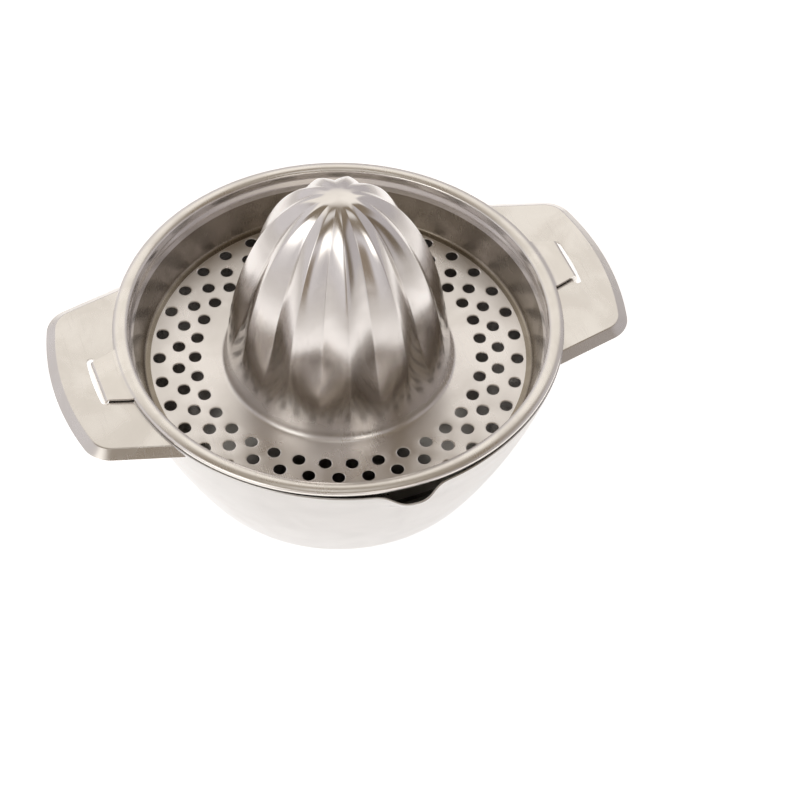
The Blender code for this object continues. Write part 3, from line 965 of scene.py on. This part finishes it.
@dataclass
class Graph:
    """A node tree with short calls for adding and joining nodes."""

    tree: bpy.types.NodeTree

    def node(self, kind: str, inputs: dict | None = None, **options) -> bpy.types.Node:
        """Add a node, set its options, and give its inputs values or links.

        Args:
            kind: The node's type name.
            inputs: Value or output socket for each input, by name or number.
            **options: Properties of the node.

        Returns:
            The node.
        """
        made = self.tree.nodes.new(kind)
        for name, value in options.items():
            setattr(made, name, value)
        for name, value in (inputs or {}).items():
            if isinstance(value, bpy.types.NodeSocket):
                self.tree.links.new(value, made.inputs[name])
            else:
                made.inputs[name].default_value = value
        return made

    def math(self, operation: str, *values: object) -> bpy.types.NodeSocket:
        """Add a Math node and return its output."""
        return self.node("ShaderNodeMath", dict(enumerate(values)), operation=operation).outputs[0]

    def ramp(self, value: bpy.types.NodeSocket, low: float, high: float, start: float = 0.0,
             end: float = 1.0) -> bpy.types.NodeSocket:
        """Map a value smoothly from low..high to start..end and return the output."""
        mapped = self.node("ShaderNodeMapRange", {"Value": value, "From Min": low, "From Max": high,
                                                  "To Min": start, "To Max": end},
                           interpolation_type="SMOOTHSTEP")
        return mapped.outputs["Result"]

    def mix(self, share: bpy.types.NodeSocket, a: tuple, b: tuple) -> bpy.types.NodeSocket:
        """Mix two colours, each a colour or a socket, and return the output."""
        made = self.tree.nodes.new("ShaderNodeMix")
        made.data_type = "RGBA"
        sockets = [made.inputs[6], made.inputs[7]]
        self.tree.links.new(share, made.inputs[0])
        for socket, value in zip(sockets, (a, b)):
            if isinstance(value, bpy.types.NodeSocket):
                self.tree.links.new(value, socket)
            else:
                socket.default_value = (*value, 1.0)
        return made.outputs[2]


def new_group(name: str, inputs: dict[str, tuple[str, object]], outputs: list[str]) -> tuple:
    """Make an empty shader node group with named sockets.

    Args:
        name: Name of the group.
        inputs: For each input, its socket type and default value.
        outputs: Names of the outputs, all values.

    Returns:
        The group, its graph, its input node and its output node.
    """
    group = bpy.data.node_groups.new(name, "ShaderNodeTree")
    for title, (kind, value) in inputs.items():
        socket = group.interface.new_socket(name=title, in_out="INPUT", socket_type=kind)
        if value is not None:
            socket.default_value = value
    for title in outputs:
        group.interface.new_socket(name=title, in_out="OUTPUT", socket_type="NodeSocketFloat")
    graph = Graph(group)
    return group, graph, graph.node("NodeGroupInput"), graph.node("NodeGroupOutput")


NOISE_MIDDLE = 0.5
BAND_COARSENESS = 0.12
BAND_SCALE = 0.6
SMUDGE_FROM, SMUDGE_TO = 0.38, 0.66
HAIR_FROM, HAIR_TO = 0.67, 0.76
HAIR_TILT = 0.3
HAIR_ALONG = 55.0
HAIR_UP = 260.0
HAIR_SETS = ((0.35, 1500.0), (1.2, 1900.0), (-0.6, 1700.0))
SCRATCH_RELIEF = -0.5


def turned_grain() -> bpy.types.NodeTree:
    """Build the group for fine marks that run round Z: noise of (radius, height, a little angle)."""
    group, graph, given, out = new_group(
        "turned_grain",
        {"Position": ("NodeSocketVector", None), "Fineness": ("NodeSocketFloat", 2500.0),
         "Length": ("NodeSocketFloat", 9.0)},
        ["Grain", "Bands"])
    axes = graph.node("ShaderNodeSeparateXYZ", {0: given.outputs["Position"]}).outputs
    radius = graph.math("SQRT", graph.math("ADD", graph.math("MULTIPLY", axes[0], axes[0]),
                                           graph.math("MULTIPLY", axes[1], axes[1])))
    angle = graph.math("ARCTAN2", axes[1], axes[0])
    round_x = graph.math("MULTIPLY", graph.math("COSINE", angle), given.outputs["Length"])
    round_y = graph.math("MULTIPLY", graph.math("SINE", angle), given.outputs["Length"])
    across = graph.math("MULTIPLY", graph.math("ADD", radius, axes[2]), given.outputs["Fineness"])
    place = graph.node("ShaderNodeCombineXYZ", {0: round_x, 1: round_y, 2: across}).outputs[0]
    fine = graph.node("ShaderNodeTexNoise", {"Vector": place, "Scale": 1.0, "Detail": 3.0})
    wide = graph.math("MULTIPLY", across, BAND_COARSENESS)
    band = graph.node("ShaderNodeCombineXYZ", {0: round_x, 1: round_y, 2: wide}).outputs[0]
    coarse = graph.node("ShaderNodeTexNoise", {"Vector": band, "Scale": BAND_SCALE, "Detail": 2.0})
    graph.tree.links.new(fine.outputs[0], out.inputs["Grain"])
    graph.tree.links.new(coarse.outputs[0], out.inputs["Bands"])
    return group


def handling() -> bpy.types.NodeTree:
    """Build the group for handling marks: cloudy smudges and hairline scratches.

    Each set of hairs is noise squeezed across its way, turned round Z and tilted a little.
    """
    group, graph, given, out = new_group(
        "handling", {"Position": ("NodeSocketVector", None), "Size": ("NodeSocketFloat", 60.0)},
        ["Smudge", "Scratch"])
    place = given.outputs["Position"]
    cloud = graph.node("ShaderNodeTexNoise", {"Vector": place, "Scale": given.outputs["Size"],
                                              "Detail": 4.0, "Distortion": 0.6})
    smudge = graph.ramp(cloud.outputs[0], SMUDGE_FROM, SMUDGE_TO)
    lines = []
    for turn, across in HAIR_SETS:
        mapped = graph.node("ShaderNodeMapping", {"Vector": place, "Rotation": (HAIR_TILT * turn, 0.0, turn),
                                                  "Scale": (across, HAIR_ALONG, HAIR_UP)})
        hair = graph.node("ShaderNodeTexNoise", {"Vector": mapped.outputs[0], "Scale": 1.0,
                                                 "Detail": 1.0})
        lines.append(graph.ramp(hair.outputs[0], HAIR_FROM, HAIR_TO))
    scratch = graph.math("MAXIMUM", graph.math("MAXIMUM", lines[0], lines[1]), lines[2])
    graph.tree.links.new(smudge, out.inputs["Smudge"])
    graph.tree.links.new(scratch, out.inputs["Scratch"])
    return group


@dataclass(frozen=True)
class Finish:
    """One finish of the steel.

    The smudges mix tint and stain.  Smudge, grain, scratch and haze say how much each adds to the
    roughness; the haze comes in from haze_high down to haze_low.  Grain_depth is the relief's
    height, fineness its cells per metre across the marks, and length its cells round them.
    """

    name: str
    tint: Colour
    stain: Colour
    roughness: float
    smudge: float
    grain: float
    grain_depth: float
    fineness: float = 2500.0
    length: float = 9.0
    scratch: float = 0.06
    anisotropy: float = 0.0
    haze: float = 0.0
    haze_high: float = 60.0 * MM
    haze_low: float = 45.0 * MM

    def build(self, groups: dict[str, bpy.types.NodeTree]) -> bpy.types.Material:
        """Build the material; its marks read Object coordinates.

        Args:
            groups: The shared node groups by name.

        Returns:
            The material.
        """
        material = bpy.data.materials.new(self.name)
        material.use_nodes = True
        graph = Graph(material.node_tree)
        shader = material.node_tree.nodes["Principled BSDF"]
        shader.inputs["Metallic"].default_value = 1.0
        shader.inputs["Anisotropic"].default_value = self.anisotropy
        shader.inputs["Anisotropic Rotation"].default_value = QUARTER_TURN
        round_z = graph.node("ShaderNodeTangent", direction_type="RADIAL", axis="Z").outputs[0]
        graph.tree.links.new(round_z, shader.inputs["Tangent"])
        place = graph.node("ShaderNodeTexCoord").outputs["Object"]
        turned_marks = graph.node("ShaderNodeGroup", node_tree=groups["turned_grain"])
        for name, value in (("Fineness", self.fineness), ("Length", self.length)):
            turned_marks.inputs[name].default_value = value
        marks = graph.node("ShaderNodeGroup", node_tree=groups["handling"])
        for node in (turned_marks, marks):
            graph.tree.links.new(place, node.inputs["Position"])
        colour = graph.mix(marks.outputs["Smudge"], self.tint, self.stain)
        graph.tree.links.new(colour, shader.inputs["Base Color"])
        rough = graph.math("MULTIPLY_ADD", marks.outputs["Smudge"], self.smudge, self.roughness)
        bands = graph.math("SUBTRACT", turned_marks.outputs["Bands"], NOISE_MIDDLE)
        rough = graph.math("MULTIPLY_ADD", bands, self.grain, rough)
        rough = graph.math("MULTIPLY_ADD", marks.outputs["Scratch"], self.scratch, rough)
        height = graph.node("ShaderNodeSeparateXYZ", {0: place}).outputs[2]
        low = graph.ramp(height, self.haze_high, self.haze_low)
        rough = graph.math("MULTIPLY_ADD", low, self.haze, rough)
        graph.tree.links.new(rough, shader.inputs["Roughness"])
        relief = graph.math("MULTIPLY_ADD", marks.outputs["Scratch"], SCRATCH_RELIEF,
                            turned_marks.outputs["Grain"])
        bump = graph.node("ShaderNodeBump", {"Height": relief, "Strength": 1.0,
                                             "Distance": self.grain_depth})
        graph.tree.links.new(bump.outputs[0], shader.inputs["Normal"])
        return material


BOWL_SATIN = Finish("bowl_satin", (0.63, 0.615, 0.60), (0.61, 0.595, 0.58), roughness=0.22, smudge=0.02,
                    grain=0.10, grain_depth=0.1e-6, scratch=0.02, anisotropy=0.5)
HANDLE_SATIN = Finish("handle_satin", (0.78, 0.755, 0.725), (0.73, 0.70, 0.665), roughness=0.24,
                      smudge=0.05, grain=0.06, grain_depth=0.3e-6, scratch=0.04)
BEAD_SATIN = Finish("bead_satin", (0.83, 0.80, 0.765), (0.78, 0.75, 0.71), roughness=0.26, smudge=0.05,
                    grain=0.12, grain_depth=0.5e-6)
STRAINER_BRIGHT = Finish("strainer_bright", (0.78, 0.75, 0.73), (0.73, 0.70, 0.675), roughness=0.13,
                         smudge=0.04, grain=0.05, grain_depth=0.25e-6, scratch=0.03, haze=0.14,
                         anisotropy=0.9)
# Tint and stain darker than bare steel: a painted reflection of the dark surroundings that the wall would
# mirror. Its grain is the real turned finish.
WALL_TURNED_PAINTED_REFLECTION = Finish("wall_turned_painted_reflection", (0.37, 0.33, 0.28), (0.27, 0.235, 0.19), roughness=0.22, smudge=0.04,
                     grain=0.24, grain_depth=0.8e-6, fineness=1400.0, length=3.0, anisotropy=0.9)


# ---------------------------------------------------------------- the studio


@dataclass(frozen=True)
class Panel:
    """A light or a dark flag as the object sees it: its middle, half its spread, edge and colour.

    Azimuth runs from 0 at -Y to 90 at +X; all angles are in degrees.
    """

    azimuth: float
    elevation: float
    half_width: float
    half_height: float
    edge: float
    colour: Colour


KEY = Panel(-65.0, 38.0, 17.0, 18.0, 3.0, (2.1, 2.06, 2.0))
FRONT = Panel(6.0, 38.0, 10.0, 13.0, 3.0, (2.0, 1.93, 1.83))
BACK = Panel(175.0, 44.0, 46.0, 14.0, 6.0, (1.10, 1.05, 0.98))
TOP = Panel(0.0, 90.0, 190.0, 12.0, 4.0, (0.92, 0.89, 0.86))
FLAG_LEFT = Panel(-28.0, 14.0, 13.0, 16.0, 5.0, (0.30, 0.24, 0.18))
FLAG_RIGHT = Panel(42.0, 30.0, 8.0, 30.0, 4.0, (0.20, 0.16, 0.12))


@dataclass
class Studio:
    """Pale floor, soft lights and dark flags in a pale room with a warm dim ceiling, and the camera."""

    panels: tuple[Panel, ...] = (FLAG_LEFT, FLAG_RIGHT, KEY, FRONT, BACK, TOP)
    wall_left: Colour = (0.76, 0.73, 0.745)
    wall_right: Colour = (0.56, 0.53, 0.54)
    ceiling: Colour = (0.26, 0.21, 0.155)
    ceiling_from: float = 40.0
    ceiling_full: float = 58.0
    turn_from: float = -0.3
    turn_to: float = 0.5
    floor_half: float = 4.0
    floor_drop: float = 0.1 * MM
    floor_tone: float = 0.93
    floor_roughness: float = 0.9
    floor_painted_glow: float = 0.62
    glow_from: float = 0.22
    glow_to: float = 0.60
    glow_far: float = 0.1
    lens: float = 97.96
    sight: float = 50.0
    place: tuple[float, float, float] = (-0.1411, -0.4393, 0.5585)
    elevation: float = math.radians(49.384)
    roll: float = math.radians(1.869)
    swing: float = math.radians(-20.28)

    def add_camera(self) -> None:
        """Add the camera: it looks down at the elevation, swung round Z and rolled about its view."""
        data = bpy.data.cameras.new("camera")
        data.lens = self.lens
        data.clip_end = self.sight
        camera = bpy.data.objects.new("camera", data)
        bpy.context.scene.collection.objects.link(camera)
        se, ce = math.sin(self.elevation), math.cos(self.elevation)
        sr, cr = math.sin(self.roll), math.cos(self.roll)
        right, up, back = np.array([1.0, 0.0, 0.0]), np.array([0.0, se, ce]), np.array([0.0, -ce, se])
        columns = np.stack([cr * right + sr * up, cr * up - sr * right, back], -1)
        matrix = np.eye(4)
        matrix[:3, :3] = columns
        camera.matrix_world = (Matrix.Translation(self.place) @ Matrix.Rotation(self.swing, 4, "Z")
                               @ Matrix(matrix.tolist()))
        bpy.context.scene.camera = camera

    def add_floor(self) -> None:
        """Add the pale floor just under the foot; it glows with painted light, brightest round the object,
        which fills the floor's shadow there.
        """
        half = self.floor_half
        corners = np.array([[-half, -half], [half, -half], [half, half], [-half, half]])
        mesh = bpy.data.meshes.new("floor")
        level = np.full(len(corners), -self.floor_drop)
        mesh.from_pydata(np.column_stack([corners, level]).tolist(), [], [(0, 1, 2, 3)])
        floor = bpy.data.objects.new("floor", mesh)
        bpy.context.scene.collection.objects.link(floor)
        material = bpy.data.materials.new("floor")
        material.use_nodes = True
        shader = material.node_tree.nodes["Principled BSDF"]
        shader.inputs["Base Color"].default_value = (self.floor_tone,) * 3 + (1.0,)
        shader.inputs["Roughness"].default_value = self.floor_roughness
        shader.inputs["Specular IOR Level"].default_value = 0.0
        # Painted glow: emission, brightest round the object, lifts the floor to white and fills its shadow.
        shader.inputs["Emission Strength"].default_value = self.floor_painted_glow
        graph = Graph(material.node_tree)
        from_middle = graph.node("ShaderNodeVectorMath",
                                 {0: graph.node("ShaderNodeTexCoord").outputs["Object"]},
                                 operation="LENGTH").outputs["Value"]
        glow = graph.ramp(from_middle, self.glow_from, self.glow_to, 1.0, self.glow_far)
        graph.tree.links.new(glow, shader.inputs["Emission Color"])
        floor.data.materials.append(material)

    def add_light(self) -> None:
        """Light the scene from the room: pale walls, a warm dim ceiling and the soft panels."""
        world = bpy.data.worlds.new("studio")
        world.use_nodes = True
        bpy.context.scene.world = world
        graph = Graph(world.node_tree)
        axes = graph.node("ShaderNodeSeparateXYZ",
                          {0: graph.node("ShaderNodeTexCoord").outputs["Generated"]}).outputs
        to_degrees = math.degrees(1.0)
        towards = graph.math("MULTIPLY", axes[1], -1.0)
        azimuth = graph.math("MULTIPLY", graph.math("ARCTAN2", axes[0], towards), to_degrees)
        elevation = graph.math("MULTIPLY", graph.math("ARCSINE", axes[2]), to_degrees)
        rightward = graph.ramp(axes[0], self.turn_from, self.turn_to)
        wall = graph.mix(rightward, self.wall_left, self.wall_right)
        colour = graph.mix(graph.ramp(elevation, self.ceiling_from, self.ceiling_full), wall, self.ceiling)
        for panel in self.panels:
            colour = graph.mix(self.panel_mask(graph, azimuth, elevation, panel), colour, panel.colour)
        graph.tree.links.new(colour, world.node_tree.nodes["Background"].inputs["Color"])
        bpy.context.scene.view_settings.view_transform = "Standard"

    def panel_mask(self, graph: Graph, azimuth: bpy.types.NodeSocket, elevation: bpy.types.NodeSocket,
                   panel: Panel) -> bpy.types.NodeSocket:
        """Add a panel's mask: smooth over its edge, across times up.

        Args:
            graph: The world's graph.
            azimuth: The direction's azimuth in degrees.
            elevation: The direction's elevation in degrees.
            panel: The panel.

        Returns:
            The output that is 1 on the panel and 0 off it.
        """
        turn = graph.math("WRAP", graph.math("SUBTRACT", azimuth, panel.azimuth), 180.0, -180.0)
        rise = graph.math("SUBTRACT", elevation, panel.elevation)
        sides = [graph.ramp(graph.math("ABSOLUTE", off), half - panel.edge, half + panel.edge, 1.0, 0.0)
                 for off, half in ((turn, panel.half_width), (rise, panel.half_height))]
        return graph.math("MULTIPLY", sides[0], sides[1])

    def build(self) -> None:
        """Set up the whole studio."""
        self.add_camera()
        self.add_floor()
        self.add_light()


def main() -> None:
    """Load the frame, build and dress each piece, and set up the studio."""
    logging.basicConfig(level=logging.INFO, format="%(message)s")
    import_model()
    seat = Seat.from_frame()
    groups = {"turned_grain": turned_grain(), "handling": handling()}
    # wall is the strainer wall's material, whose dark tint is a painted reflection.
    handle, bowl, bead, bright, wall = (
        finish.build(groups)
        for finish in (HANDLE_SATIN, BOWL_SATIN, BEAD_SATIN, STRAINER_BRIGHT, WALL_TURNED_PAINTED_REFLECTION))
    pieces = [(Bowl(seat).build([bowl]), "bowl", "juice_bowl", Slot.SATIN),
              (Handle(seat, Side.RIGHT).build([handle]), "bowl", "juice_bowl", Slot.SATIN),
              (Handle(seat, Side.LEFT).build([handle]), "bowl", "juice_bowl", Slot.SATIN),
              (Strainer(seat).build([bright, bead, wall, bead]), "strainer", "reamer_strainer",
               Slot.BRIGHT)]
    for piece, body, node, slot in pieces:
        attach(piece, body)
        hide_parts(node)
        LOG.info("%s: %d faces, rides on %s", piece.name, len(piece.data.polygons), body)
    Studio().build()


if __name__ == "__main__":
    main()
